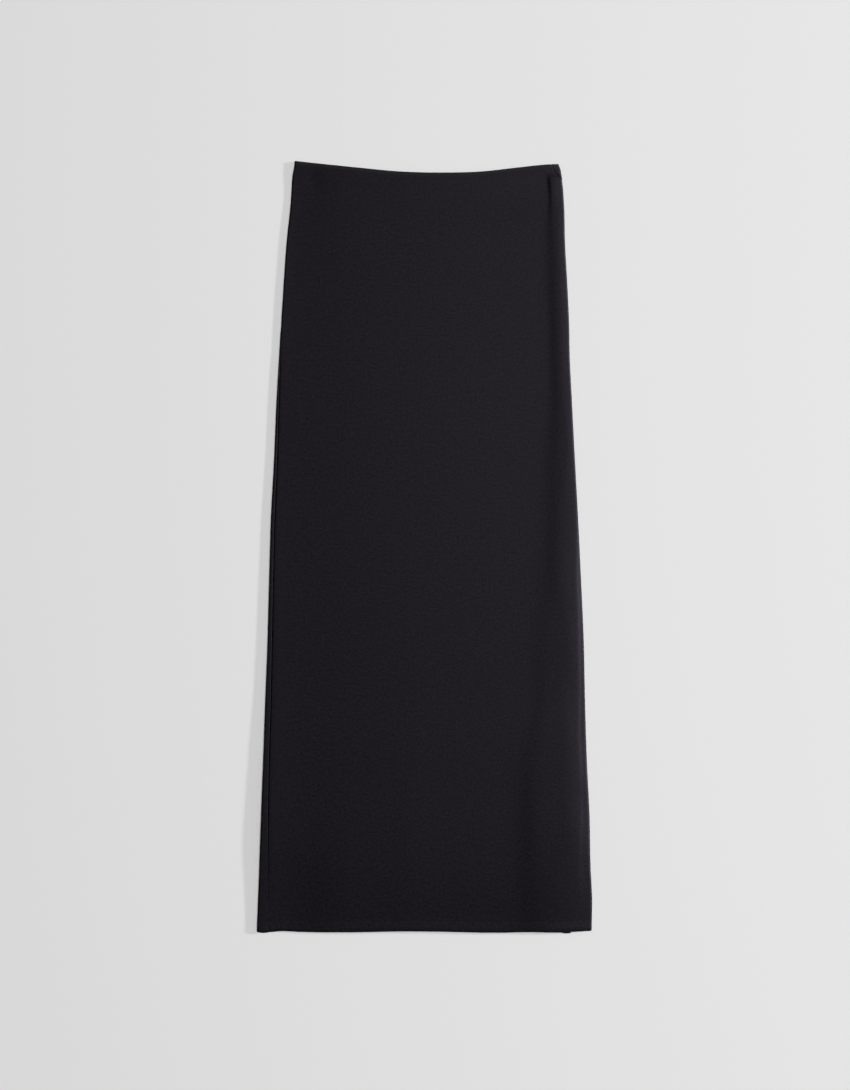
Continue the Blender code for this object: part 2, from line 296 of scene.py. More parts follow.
# %% Swells and creases
# Places go from -1 at the left edge to 1 at the right. A place and a lift are given at the
# waist, half way and at the hem, lifts and half widths in millimetres.
STOPS = np.array([0.0, 0.5, 1.0])  # shares of the way down at which these three stand
SWELL_COLUMNS = ("places", "half_width", "lifts")
SWELLS = {
    "middle swell": ((-0.10, 0.05, 0.12), 120.0, (0.3, 0.4, 0.3)),
    "hem ripple": ((-0.20, -0.14, -0.08), 30.0, (0.0, 0.0, 0.3)),
}

# A short crease has two ends. Each column gives, for one end and the other, in millimetres:
# where it lies across and down, its half width and lift, and how soon it fades out.
CREASE_COLUMNS = ("across", "down", "half_width", "lift", "fade")
CREASES = {
    "dimple by the left corner": ((-146.0, -133.0), (0.0, 46.0), (9.0, 12.0), (-0.2, -0.2),
                                  (6.0, 26.0)),
}
print(len(SWELLS), "swells and", len(CREASES), "short crease")

# %% [markdown]
# ## The section of the skirt as one loop
#
# Cut through anywhere, the skirt is a closed loop: the upper layer, a tight fold at each
# side and the flat underside. `loop` walks round it. It takes w, the distance walked from
# the left side, and answers with the place on the outer face and the direction inwards. A
# fold is a quarter ellipse above and another below, and its outermost line is half as high
# as the cloth there. Walking by distance, and not by angle, lets the knit pattern keep its
# size round the folds.
#
# A cloth simulation could drop a sewn tube on the table. But a laid skirt has few folds, and
# these have to fall in known places, so a formula is both quicker and more exact.

# %% The quarter ellipses of a fold
QUARTER_SAMPLES = 200
FOLD_RISE = 1.9 * MM      # mean rise of a quarter, used only to space points along it


def quarter(reach, rise):
    """Length of a quarter ellipse, and a function from a share of it to the angle there.

    The quarter is x = reach (1 - cos a), z = rise sin a, and its length is summed over
    small chords.
    """
    angle = np.linspace(0.0, math.pi / 2, QUARTER_SAMPLES)
    chords = np.hypot(np.diff(reach * np.cos(angle)), np.diff(rise * np.sin(angle)))
    walked = np.concatenate([[0.0], np.cumsum(chords)])
    return walked[-1], lambda share: np.interp(share, walked / walked[-1], angle)


# The length of the upper and the lower half of a fold, and the function for each.
UPPER, upper_angle = quarter(NOSE_REACH, FOLD_RISE)
LOWER, lower_angle = quarter(TUCK_REACH, FOLD_RISE)
print("a side fold is", round((UPPER + LOWER) / MM, 1), "mm round")


# %% Swells, creases and steps as functions
def sizes_at(share):
    """Every outline and height column at a share of the way down, left as a negative x."""
    sizes = {}
    for rows in (OUTLINE, HEIGHTS):
        for name in rows:
            if name != "down":
                sizes[name] = read(rows, "down", share * LENGTH, name)
    sizes["left"] = -sizes["left"]
    return sizes


def swell_lift(x, share, sizes):
    """Sum of the bells in SWELLS at x, a share of the way down."""
    left, right = sizes["left"], sizes["right"]
    total = np.zeros(np.broadcast(x, share).shape)
    for row in SWELLS.values():
        swell = dict(zip(SWELL_COLUMNS, row))
        curves = {"at": STOPS, "place": np.array(swell["places"]),
                  "lift": np.array(swell["lifts"]) * MM}
        centre = (left + right) / 2 + read(curves, "at", share, "place") * (right - left) / 2
        distance = (x - centre) / (swell["half_width"] * MM)
        total = total + read(curves, "at", share, "lift") * np.exp(-distance**2)
    return total


def crease_lift(x, down):
    """Sum of the short creases: a bell across each one, eased in and out at its ends."""
    total = np.zeros(np.broadcast(x, down).shape)
    for row in CREASES.values():
        crease = {name: np.array(value) * MM for name, value in zip(CREASE_COLUMNS, row)}
        start, end = crease["down"]
        way = np.clip((down - start) / (end - start), 0.0, 1.0)

        def between(name):
            return crease[name][0] + (crease[name][1] - crease[name][0]) * way

        ends = ease((down - start) / crease["fade"][0]) * ease((end - down) / crease["fade"][1])
        total = total + between("lift") * ends * np.exp(
            -((x - between("across")) / between("half_width")) ** 2)
    return total


def step_lift(steps, distance, down):
    """Sum of the steps of one side: rise (1 + tanh(t)) / 2, t counted in half widths.

    A step lifts what lies between it and the side, or lowers it if the rise is negative.
    """
    total = np.zeros(np.broadcast(distance, down).shape)
    for rows in steps.values():
        step = {name: read(rows, "down", down, name) for name in rows if name != "down"}
        t = (step["from_side"] - distance) / step["half_width"]
        total = total + step["rise"] * (1 + np.tanh(t)) / 2
    return total


print("the left steps change the hem's height by",
      round(float(step_lift(LEFT_STEPS, 0.0, LENGTH)) / MM, 1), "mm at the side")

# %% Height of the laid upper layer
SHOULDER_POWER = 2.2      # 1 would be a straight ramp; more keeps the drop near the side


def shoulder(distance, reach):
    """Share of a shoulder's drop at distance from the side: (1 - distance / reach)^power."""
    return np.clip(1 - distance / reach, 0.0, 1.0) ** SHOULDER_POWER


def layer_height(x, share, sizes):
    """Height of the upper layer: laid, lower on each shoulder, with its steps and swells."""
    down = share * LENGTH
    from_left, from_right = x - sizes["left"], sizes["right"] - x
    drop = (sizes["left_drop"] * shoulder(from_left, sizes["left_reach"])
            + sizes["right_drop"] * shoulder(from_right, sizes["right_reach"]))
    return (sizes["laid"] - drop + step_lift(LEFT_STEPS, from_left, down)
            + step_lift(RIGHT_STEPS, from_right, down)
            + swell_lift(x, share, sizes) + crease_lift(x, down))


def fold_drop(distance, side):
    """How far a fold's upper quarter lies below the layer: side (1 - sin a) at its angle a."""
    return side * (1 - np.sqrt(1 - np.clip(1 - distance / NOSE_REACH, 0.0, 1.0) ** 2))


print("the middle of the hem lies",
      round(float(layer_height(0.0, 1.0, sizes_at(1.0))) / MM, 1), "mm high")

# %% The underside
UNDER_COLUMNS = ("place", "half_width", "lift")  # millimetres, but for the place
UNDER_WAVES = {
    "left wave": (-0.52, 34.0, 0.45),
    "middle wave": (0.08, 46.0, 0.60),
    "right wave": (0.55, 30.0, 0.40),
}
UNDER_EDGE = 0.08         # share of the length over which these waves die out at each end


def under_height(x, share, sizes):
    """Height of the underside: flat on the table but for three shallow bells.

    A place goes from -1 at the left edge to 1 at the right, as a swell's does.
    """
    half = (sizes["right"] - sizes["left"]) / 2
    ends = ease(share / UNDER_EDGE) * ease((1 - share) / UNDER_EDGE)
    total = np.zeros(np.broadcast(x, share).shape)
    for row in UNDER_WAVES.values():
        wave = dict(zip(UNDER_COLUMNS, row))
        distance = (x - wave["place"] * half) / (wave["half_width"] * MM)
        total = total + wave["lift"] * MM * np.exp(-distance**2)
    return total * ends


print("the underside has", len(UNDER_WAVES), "shallow waves")


# %% Walking round the loop
def stretches(sizes):
    """Distance walked at the end of each stretch of the loop, clockwise from the left."""
    layer = sizes["right"] - sizes["left"] - 2 * NOSE_REACH
    under = sizes["right"] - sizes["left"] - 2 * TUCK_REACH
    walked = UPPER
    ends = [walked]
    for length in (layer, UPPER, LOWER, under, LOWER):
        walked = walked + length
        ends.append(walked)
    return ends


def loop(w, share):
    """(x, z, inward x, inward z) of the outer face at distance w round the loop.

    The stretches follow each other clockwise: the left fold's upper quarter, the layer, the
    right fold's upper and lower quarters, the underside and the left fold's lower quarter.
    """
    sizes = sizes_at(share)
    left, right = sizes["left"], sizes["right"]
    left_side = layer_height(left, share, sizes) / 2
    right_side = layer_height(right, share, sizes) / 2
    roll, layer_end, at_right, tucked, under_end, whole = stretches(sizes)
    w = np.mod(w, whole)
    zero = np.zeros_like(w)

    # Angles on the four quarters: a and b above, at the left and right, c and d below.
    a = upper_angle(w / UPPER)
    b = upper_angle((at_right - w) / UPPER)
    c = lower_angle((w - at_right) / LOWER)
    d = lower_angle((whole - w) / LOWER)

    where = [w < roll, w < layer_end, w < at_right, w < tucked, w < under_end]
    x = np.select(where, [
        left + NOSE_REACH * (1 - np.cos(a)),
        left + NOSE_REACH + (w - roll),
        right - NOSE_REACH * (1 - np.cos(b)),
        right - TUCK_REACH * (1 - np.cos(c)),
        right - TUCK_REACH - (w - tucked),
    ], left + TUCK_REACH * (1 - np.cos(d)))
    z = np.select([w < at_right, w < tucked, w < under_end], [
        layer_height(x, share, sizes) - fold_drop(x - left, left_side)
        - fold_drop(right - x, right_side),
        right_side * (1 - np.sin(c)),
        under_height(x, share, sizes),
    ], left_side * (1 - np.sin(d)))
    inward_x = np.select(where, [np.cos(a), zero, -np.cos(b), -np.cos(c), zero], np.cos(d))
    inward_z = np.select(where, [-np.sin(a), zero - 1, -np.sin(b), np.sin(c), zero + 1],
                         np.sin(d))
    return x, z, inward_x, inward_z


test_loop = loop(np.array([[0.0, 0.2, 0.4]]), np.array([[0.5]]))
print("half way down, the loop passes x =", np.round(test_loop[0] / MM, 1),
      "and z =", np.round(test_loop[1] / MM, 1), "mm")

# %% [markdown]
# ## Dips along the seams and the hem
#
# Sewing pulls cloth down. At a side seam the panels turn inwards at their very edges, the
# front more than the back, which leaves a ditch. It is shallow near the hem, where the seam
# is pressed shut. Above the hem a row of stitches presses a shallow channel, and the doubled
# band below it puckers, because its thread is a little shorter than the cloth. A bump in the
# material could draw all this, but real geometry catches the light from any side and is part
# of the mesh itself.

# %% The seam's ditch
EDGE_TURN = {"front": 1.8 * MM, "back": 0.15 * MM}  # radius of an edge's turn into the seam
SEAM_SLOPE = {"front": 0.34 * MM, "back": 0.0}      # how much lower the cloth is beside it
SEAM_REACH = 2.2 * MM     # how far that slope reaches
SEAM_CLOSED = 14.0 * MM   # height above the hem's edge up to which the ditch is shallowest
SEAM_FADE = 150.0 * MM    # length over which it deepens above that
SEAM_LEAST = 0.03         # share of the ditch that is left at the hem
SEAM_AT_WAIST = 0.4       # share that is left at the waist, where the turned edge holds it
WAIST_FADE = 40.0 * MM    # length over which it deepens below that
SEAM_SQUEEZE = 0.35       # share of the ditch that the wrong side doesn't follow


def seam_share(up):
    """Share of the ditch at height up above the hem's edge, eased to less at both ends."""
    at_hem = SEAM_LEAST + (1 - SEAM_LEAST) * ease((up - SEAM_CLOSED) / SEAM_FADE)
    at_waist = SEAM_AT_WAIST + (1 - SEAM_AT_WAIST) * ease((LENGTH - up) / WAIST_FADE)
    return at_hem * at_waist


def seam_dip(edge, side, up):
    """Depth of the ditch at distance edge from the seam: a quarter round and a soft slope.

    The slope is SEAM_SLOPE exp(-edge / SEAM_REACH), deeper on the front panel, whose cloth
    is drawn towards the seam. At the waist and the hem the turned cloth stiffens the seam,
    so the ditch fades there.
    """
    turned = np.clip(1 - edge / EDGE_TURN[side], 0.0, 1.0)
    full = (EDGE_TURN[side] * (1 - np.sqrt(1 - turned**2))
            + SEAM_SLOPE[side] * np.exp(-edge / SEAM_REACH))
    return full * seam_share(up)


print("half way down, the front's edge turns in by",
      round(float(seam_dip(0.0, "front", LENGTH / 2)) / MM, 2), "mm")

# %% The stitch channel, the puckers and the hem's roll
STITCH_LINE = 13.3 * MM   # stitches above the hem's edge
CHANNEL_DEPTH = 0.035 * MM
CHANNEL_WIDTH = 0.9 * MM
HEM_ROLL = 0.12 * MM      # how much lower the cloth lies at the very edge of the hem
HEM_REACH = 0.9 * MM      # how far from that edge it rolls down
PUCKER_MIDDLE = 0.5       # where the puckers are strongest, as a share of the band below
PUCKER_SPREAD = 0.4       # how far they reach from there, as a share of it too
PUCKERS = (
    # pitch across the hem, lean for each step down, depth
    (5.3 * MM, 0.9, 0.026 * MM),
    (7.9 * MM, 0.5, 0.034 * MM),
    (12.7 * MM, -0.3, 0.042 * MM),
)


def hem_dip(x, up):
    """Depth of the stitch channel, the puckers and the hem's roll, at height up above it.

    The channel is a bell about the stitch line. The puckers are three leaning sines whose
    pitches don't fit each other, so that no two look alike; they are strongest half way up
    the band. The roll is HEM_ROLL exp(-up / HEM_REACH).
    """
    channel = CHANNEL_DEPTH * np.exp(-(((up - STITCH_LINE) / CHANNEL_WIDTH) ** 2))
    from_middle = (up - PUCKER_MIDDLE * STITCH_LINE) / (PUCKER_SPREAD * STITCH_LINE)
    strength = np.exp(-(from_middle**2))
    waves = sum(depth * np.sin(2 * math.pi * (x + lean * up) / pitch)
                for pitch, lean, depth in PUCKERS)
    return channel + waves * strength + HEM_ROLL * np.exp(-up / HEM_REACH)


print("the deepest pucker can be",
      round(sum(depth for _, _, depth in PUCKERS) / MM, 2), "mm deep")

# %% [markdown]
# ## From a loop to a panel
#
# A panel is a grid. Its columns run down the skirt between two seams, and its rows follow
# the wall's path: up the allowance inside the waist, over the fold, down the skirt, round
# the hem's fold and up again inside. Rows crowd at the waist, the hem and the stitches,
# and columns crowd beside the seams, because that is where the cloth bends most.
#
# A Solidify modifier could thicken one such grid, but would spend as many triangles on the
# wrong side of the cloth, which is never seen close up. So the wrong side is a grid of its
# own, with every fourth row and column only, and the saved triangles go to the right side.

# %% Spacing of rows and columns
COARSE = 4                # the wrong side has one step for this many on the right side
ROWS = 280                # steps down the skirt, a multiple of COARSE like the next three
COLUMNS = 288             # steps across a panel
FOLD_STEPS = 8            # steps round the fold at the waist or the hem
ALLOWANCE_STEPS = 12      # steps up an allowance
ROW_CROWDS = (
    # place down the skirt, reach, extra
    (0.0, 0.024, 6.0),
    (1 - STITCH_LINE / LENGTH, 0.004, 8.0),
    (1.0, 0.016, 4.0),
    (1.0, 0.002, 8.0),
)
COLUMN_CROWDS = (
    # place across a panel, reach, extra
    (0.0, 0.035, 4.0),
    (0.955, 0.05, 2.5),
    (1.0, 0.008, 5.0),
)
TRIAL_PLACES = 20         # for each place wanted, to sum the area on


def crowded(count, crowds):
    """count + 1 places from 0 to 1 that stand closer where crowds say.

    A crowd is (place, reach, extra). The places cut the area under
    1 + sum of extra * exp(-((t - place) / reach)^2) in equal parts.
    """
    t = np.linspace(0.0, 1.0, TRIAL_PLACES * count)
    density = np.ones_like(t)
    for place, reach, extra in crowds:
        density += extra * np.exp(-(((t - place) / reach) ** 2))
    area = np.concatenate([[0.0], np.cumsum((density[1:] + density[:-1]) / 2)])
    return np.interp(np.linspace(0.0, 1.0, count + 1), area / area[-1], t)


down_places = crowded(ROWS, ROW_CROWDS)
across_places = crowded(COLUMNS, COLUMN_CROWDS)
row_steps = np.diff(down_places)[[0, ROWS // 2, -1]] * LENGTH
print("rows are", np.round(row_steps / MM, 2), "mm apart at the waist, half way and the hem")


# %% The path of a panel's wall
def wall_path():
    """Stations from the waist allowance to the hem allowance: (share, angle), a column each.

    share is the place down the skirt, and angle is how far the cloth has turned over: 0 on
    the outer layer, rising to half a turn over a fold, and half a turn on an allowance.
    """
    inside = np.linspace(ALLOWANCE / LENGTH, 0.0, ALLOWANCE_STEPS + 1)
    turn = np.linspace(math.pi, 0.0, FOLD_STEPS + 1)
    share = np.concatenate([inside, np.zeros(FOLD_STEPS), down_places[1:],
                            np.ones(FOLD_STEPS), 1 - inside[-2::-1]])
    angle = np.concatenate([np.full(ALLOWANCE_STEPS + 1, math.pi), turn[1:], np.zeros(ROWS),
                            turn[-2::-1], np.full(ALLOWANCE_STEPS, math.pi)])
    return share[:, None], angle[:, None]


print("a panel has", len(wall_path()[0]), "rows of points and", COLUMNS + 1, "columns")


# %% A point of the cloth
def panel_span(is_front, share):
    """Where a panel starts on the loop, and how wide it is there.

    Towards the hem the left seam's gap closes from SEAM_GAP to HEM_GAP, as its ditch does.
    """
    sizes = sizes_at(share)
    _, _, at_right, _, _, whole = stretches(sizes)
    left_seam, right_seam = sizes["left_seam_over"], at_right + sizes["right_seam_under"]
    opened = ease(((1 - share) * LENGTH - SEAM_CLOSED) / SEAM_FADE)
    left_gap = HEM_GAP + (SEAM_GAP - HEM_GAP) * opened
    if is_front:
        start, end = left_seam + left_gap / 2, right_seam - SEAM_GAP / 2
    else:
        start, end = right_seam + SEAM_GAP / 2, whole + left_seam - left_gap / 2
    return start, end - start


def cloth_points(is_front, across, share, angle, thickness):
    """Points of a panel's cloth, thickness below its right side, as an array (..., 3).

    across runs from 0 to 1 between the seams. The place on the loop gives x, z and the way
    inwards. y runs from the waist line to the hem line. A turned edge is a half circle
    about the line FOLD_RADIUS inside it: FOLD_RADIUS - (FOLD_RADIUS - thickness) cos(angle)
    deep and (FOLD_RADIUS - thickness) sin(angle) beyond. A seam squeezes the cloth thinner,
    so the wrong side follows its ditch less deeply.
    """
    start, width = panel_span(is_front, share)
    x, z, inward_x, inward_z = loop(start + width * across, share)
    radius = FOLD_RADIUS - thickness
    on_top = (1 + np.cos(angle)) / 2
    edge = np.minimum(across, 1 - across) * width
    side = "front" if is_front else "back"
    up = (1 - share) * LENGTH
    squeezed = 1 - SEAM_SQUEEZE * thickness / CLOTH
    depth = (FOLD_RADIUS - radius * np.cos(angle) + seam_dip(edge, side, up) * squeezed
             + hem_dip(x, up) * on_top)
    waist_y = LENGTH / 2 - read(WAIST, "across", x, side) - FOLD_RADIUS
    hem_y = -LENGTH / 2 + read(HEM, "across", x, side) + FOLD_RADIUS
    beyond = np.where(share < 0.5, 1.0, -1.0) * radius * np.sin(angle)
    y = waist_y + (hem_y - waist_y) * share + beyond
    return np.stack([x + inward_x * depth, y, z + inward_z * depth], axis=-1)


mid_width = panel_span(True, np.array(0.5))[1]
print("half way down, the front is cut", round(float(mid_width) / MM), "mm wide")


# %% A closed shell from a fine and a coarse grid
def quads(index):
    """The four-sided faces of a grid of point numbers, facing up where rows run towards -Y."""
    corners = (index[:-1, :-1], index[1:, :-1], index[1:, 1:], index[:-1, 1:])
    return np.stack(corners, axis=-1).reshape(-1, 4)


def rim(fine, coarse, turned):
    """Triangles that close the gap between a fine and a coarse row of points.

    Each fine edge goes to the nearest coarse point, and each coarse edge to the fine point
    half way along it. turned makes the triangles face the other way.
    """
    step = np.arange(len(fine) - 1)
    nearest = coarse[(step + COARSE // 2) // COARSE]
    first = np.stack([fine[:-1], nearest, fine[1:]], axis=-1)
    second = np.stack([coarse[:-1], coarse[1:], fine[COARSE // 2::COARSE]], axis=-1)
    triangles = np.concatenate([first, second])
    return triangles[:, ::-1] if turned else triangles


# %% Meshes, and the cloth's own map
def add_mesh(name, points, faces, material):
    """A smooth mesh object from an array of points and lists of faces."""
    mesh = bpy.data.meshes.new(name)
    mesh.from_pydata(points.reshape(-1, 3).tolist(), [], faces)
    mesh.validate()
    mesh.shade_smooth()
    mesh.materials.append(material)
    piece = bpy.data.objects.new(name, mesh)
    bpy.context.scene.collection.objects.link(piece)
    return piece


def lay_cloth_map(piece, across, down):
    """A UV map in metres of cloth: across each panel and down it, for the knit pattern."""
    layer = piece.data.uv_layers.new(name="cloth")
    corner = np.empty(len(piece.data.loops), np.int32)
    piece.data.loops.foreach_get("vertex_index", corner)
    both = np.stack([across.ravel(), down.ravel()], axis=-1).astype(np.float32)
    layer.uv.foreach_set("vector", both[corner].ravel())


# %% One panel
def add_panel(name, is_front, material):
    """One panel: the right side on the fine grid, the wrong side on every fourth line.

    Four rims close it: along both seams and along the cut edges of both allowances. Its map
    gives each point's distance across from the panel's middle line, and down from its upper
    cut edge as walked along the cloth.
    """
    share, angle = wall_path()
    across = across_places[None, :]
    right_side = cloth_points(is_front, across, share, angle, 0.0)
    wrong_side = cloth_points(is_front, across, share, angle, CLOTH)[::COARSE, ::COARSE]
    fine = np.arange(right_side[..., 0].size).reshape(right_side.shape[:2])
    coarse = fine.size + np.arange(wrong_side[..., 0].size).reshape(wrong_side.shape[:2])
    rims = np.concatenate([
        rim(fine[:, 0], coarse[:, 0], False), rim(fine[:, -1], coarse[:, -1], True),
        rim(fine[0], coarse[0], True), rim(fine[-1], coarse[-1], False)])
    faces = quads(fine).tolist() + quads(coarse)[:, ::-1].tolist() + rims.tolist()
    points = np.concatenate([right_side.reshape(-1, 3), wrong_side.reshape(-1, 3)])
    piece = add_mesh(name, points, faces, material)

    walked = np.linalg.norm(np.diff(right_side, axis=0), axis=-1).mean(axis=1)
    down = np.concatenate([[0.0], np.cumsum(walked)])[:, None] + 0 * across
    wide = (across - 0.5) * panel_span(is_front, share)[1]
    lay_cloth_map(piece, np.concatenate([wide.ravel(), wide[::COARSE, ::COARSE].ravel()]),
                  np.concatenate([down.ravel(), down[::COARSE, ::COARSE].ravel()]))
    triangles = sum(len(face) - 2 for face in faces)
    print(name, "has", triangles, "triangles")
    return piece


# %% [markdown]
# ## The knit
#
# Black stretch knit swallows light: its yarn reflects less than one part in a hundred. What
# shows is a soft, wide gloss and a fine grain, because no two loops of yarn lie quite the
# same way. The grain is mostly lighter and darker flecks in the colour, drawn out a little
# along the courses. The same noise, very shallow, goes into the bump. The loops themselves,
# about 0.8 mm wide, are two crossed waves there. Along the pressed edge of the waist the
# colour is painted paler: a painted highlight where the fold catches light, and partly the
# fuzz of wear on that edge.
#
# An image of a real knit could be tiled over the cloth instead, but it would repeat, and
# noise never does. All of it is too small for geometry, and follows the cloth's own map.

# %% Sizes and colours of the knit
WALE = 0.80 * MM          # width of a column of knit loops
COURSE = 0.62 * MM        # height of a row of knit loops
WAVE_PITCH = math.pi / 10     # distance after which a wave texture of scale 1 repeats
GRAIN = (3.0 * MM, 2.8 * MM)  # size of an uneven patch of loops, across and down
SLUB = (12.0 * MM, 2.2 * MM)  # size of a thicker stretch of yarn in a course
SLUB_SHARE = 0.25         # how much the slubs count beside the grain
LOOP_SHARE = 0.05         # how much the loops count in the bump beside both
LOOP_WOBBLE = {"Distortion": 0.6, "Detail": 1.0, "Detail Scale": 2.0}  # of rows of loops
RELIEF = 0.05 * MM        # height of the bump
FLECKS = ((0.40, (0.0018, 0.0016, 0.0021, 1.0)),  # noise value and its colour
          (0.85, (0.0072, 0.0064, 0.0084, 1.0)))
KNIT_HIGHLIT_AND_RUBBED = (0.0125, 0.0108, 0.0110, 1.0)     # paler colour at the pressed waist edge: painted highlight, partly rubbed fuzz
WAIST_EDGE = ALLOWANCE + math.pi * FOLD_RADIUS  # how far down the cloth that edge lies
HIGHLIGHT_AND_RUB_REACH = 6.0 * MM   # how far from it that painted highlight and fuzz fade out
KNIT_GLOSS = {
    "Roughness": 0.44,
    "Specular IOR Level": 0.150,
    "Specular Tint": (0.857, 0.767, 1.0, 1.0),
    "Sheen Weight": 0.03,
    "Sheen Roughness": 0.3,
    "Sheen Tint": (0.95, 0.90, 1.0, 1.0),
}
print("one loop of the knit is", round(WALE / MM, 2), "by", round(COURSE / MM, 2), "mm")


# %% Helpers for materials
def new_material(name, values):
    """A material, its shader with set values, and a function that adds a node to it."""
    material = bpy.data.materials.new(name)
    material.use_nodes = True
    tree = material.node_tree
    shader = tree.nodes["Principled BSDF"]
    for socket, value in values.items():
        shader.inputs[socket].default_value = value

    def add(kind, inputs=None, **settings):
        node = tree.nodes.new("ShaderNode" + kind)
        for key, value in settings.items():
            setattr(node, key, value)
        for key, value in (inputs or {}).items():
            if isinstance(value, bpy.types.NodeSocket):
                tree.links.new(value, node.inputs[key])
            else:
                node.inputs[key].default_value = value
        return node

    return material, shader, add


def set_ramp(ramp, stops):
    """Give a colour ramp its two stops, each a position and a colour."""
    for element, (position, colour) in zip(ramp.color_ramp.elements, stops):
        element.position = position
        element.color = colour


# %% The knit
MIX_A, MIX_B, MIX_RESULT = 6, 7, 2  # the sockets for colours of a Mix node


def knit_material():
    """Black knit: flecked colour, a shallow bump of grain, slubs and loops, a wide gloss.

    The noise value is grain + SLUB_SHARE * slubs, and the bump adds LOOP_SHARE * wales *
    courses to it. Near the waist's edge the colour eases over to a paler one: a painted
    highlight along the fold, and partly rubbed fuzz.
    """
    material, shader, add = new_material("black_knit", KNIT_GLOSS)
    links = material.node_tree.links
    cloth = add("UVMap", uv_map="cloth").outputs["UV"]

    def patches(size, detail):
        scaled = add("VectorMath", {0: cloth, 1: (1 / size[0], 1 / size[1], 1.0)},
                     operation="MULTIPLY")
        return add("TexNoise", {"Vector": scaled.outputs[0], "Scale": 1.0,
                                "Detail": detail}).outputs["Fac"]

    def rows_of_loops(pitch, direction):
        return add("TexWave", {"Vector": cloth, "Scale": WAVE_PITCH / pitch, **LOOP_WOBBLE},
                   bands_direction=direction).outputs["Fac"]

    uneven = add("Math", {0: patches(SLUB, 0.0), 1: SLUB_SHARE, 2: patches(GRAIN, 1.0)},
                 operation="MULTIPLY_ADD").outputs[0]
    flecks = add("ValToRGB", {"Fac": uneven})
    set_ramp(flecks, FLECKS)
    # Painted highlight, with some rubbed fuzz: the colour turns paler towards the waist's
    # pressed edge.
    down = add("SeparateXYZ", {0: cloth}).outputs["Y"]
    from_edge = add("Math", {0: down, 1: WAIST_EDGE}, operation="SUBTRACT").outputs[0]
    highlit_and_rubbed = add("MapRange", {"Value": from_edge, "From Min": 0.0, "From Max": HIGHLIGHT_AND_RUB_REACH,
                              "To Min": 1.0, "To Max": 0.0}, interpolation_type="SMOOTHSTEP")
    colour = add("Mix", {"Factor": highlit_and_rubbed.outputs["Result"], MIX_A: flecks.outputs["Color"],
                         MIX_B: KNIT_HIGHLIT_AND_RUBBED}, data_type="RGBA")
    links.new(colour.outputs[MIX_RESULT], shader.inputs["Base Color"])

    loops = add("Math", {0: rows_of_loops(WALE, "X"), 1: rows_of_loops(COURSE, "Y")},
                operation="MULTIPLY")
    height = add("Math", {0: loops.outputs[0], 1: LOOP_SHARE, 2: uneven},
                 operation="MULTIPLY_ADD")
    bump = add("Bump", {"Height": height.outputs[0], "Strength": 1.0, "Distance": RELIEF})
    links.new(bump.outputs["Normal"], shader.inputs["Normal"])
    return material


knit = knit_material()
print("material", knit.name, "has", len(knit.node_tree.nodes), "nodes")

# %% The thread
THREAD_PLY = 0.5 * MM     # size of a twist of the thread
THREAD_RELIEF = 0.05 * MM  # height of these twists
THREAD_TWIST = 0.3        # share of that height which is used, as on smooth thread
THREAD_GLOSS = {
    "Base Color": (0.0020, 0.0018, 0.0024, 1.0),
    "Roughness": 0.40,
    "Specular IOR Level": 0.06,
}


def thread_material():
    """Black sewing thread: smooth, tightly twisted and darker than the knit."""
    material, shader, add = new_material("black_thread", THREAD_GLOSS)
    place = add("TexCoord").outputs["Object"]
    ply = add("TexNoise", {"Vector": place, "Scale": 1 / THREAD_PLY, "Detail": 1.0})
    bump = add("Bump", {"Height": ply.outputs["Fac"], "Strength": THREAD_TWIST,
                        "Distance": THREAD_RELIEF})
    material.node_tree.links.new(bump.outputs["Normal"], shader.inputs["Normal"])
    return material


thread = thread_material()
print("material", thread.name, "has", len(thread.node_tree.nodes), "nodes")

# %% [markdown]
# ## The two panels
#
# Front and back are two cut pieces on the real skirt, so they are two objects here, and
# each takes the place of its own plain solid. One closed tube would be simpler, but it would
# hide where the seams run and how wide each piece is cut.

# %% Build the front and the back
front = add_panel("front", True, knit)
back = add_panel("back", False, knit)
for piece, node in ((front, "front_panel"), (back, "back_panel")):
    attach(piece, "root")
    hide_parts(node)

# %% [markdown]
# ## The hem's stitches
#
# One row of stitches holds the turned-up hem. Each stitch is a short bar of thread, its
# ends sunk into the cloth. They could be more than two hundred copied objects. Here all of
# a panel's stitches are one mesh, worked out at once: the bars are rings of points along
# the stitch line, as one array.

# %% Stitches as one mesh for each panel
STITCH = 3.1 * MM         # from one stitch to the next
STITCH_SHOWN = 0.80       # share of that which shows as thread
THREAD_RADIUS = 0.20 * MM
THREAD_TIP = 0.02 * MM    # radius that is left at a stitch's two ends
STITCH_SINK = 0.16 * MM   # how deep the thread's middle line lies in the cloth
FIRST_STITCH = 2.5        # stitch lengths that stay free before the first stitch
STITCHES_LESS = 4         # how many fewer stitches there are than would fit
RINGS, SIDES = 5, 6       # rings along a stitch, and points in each


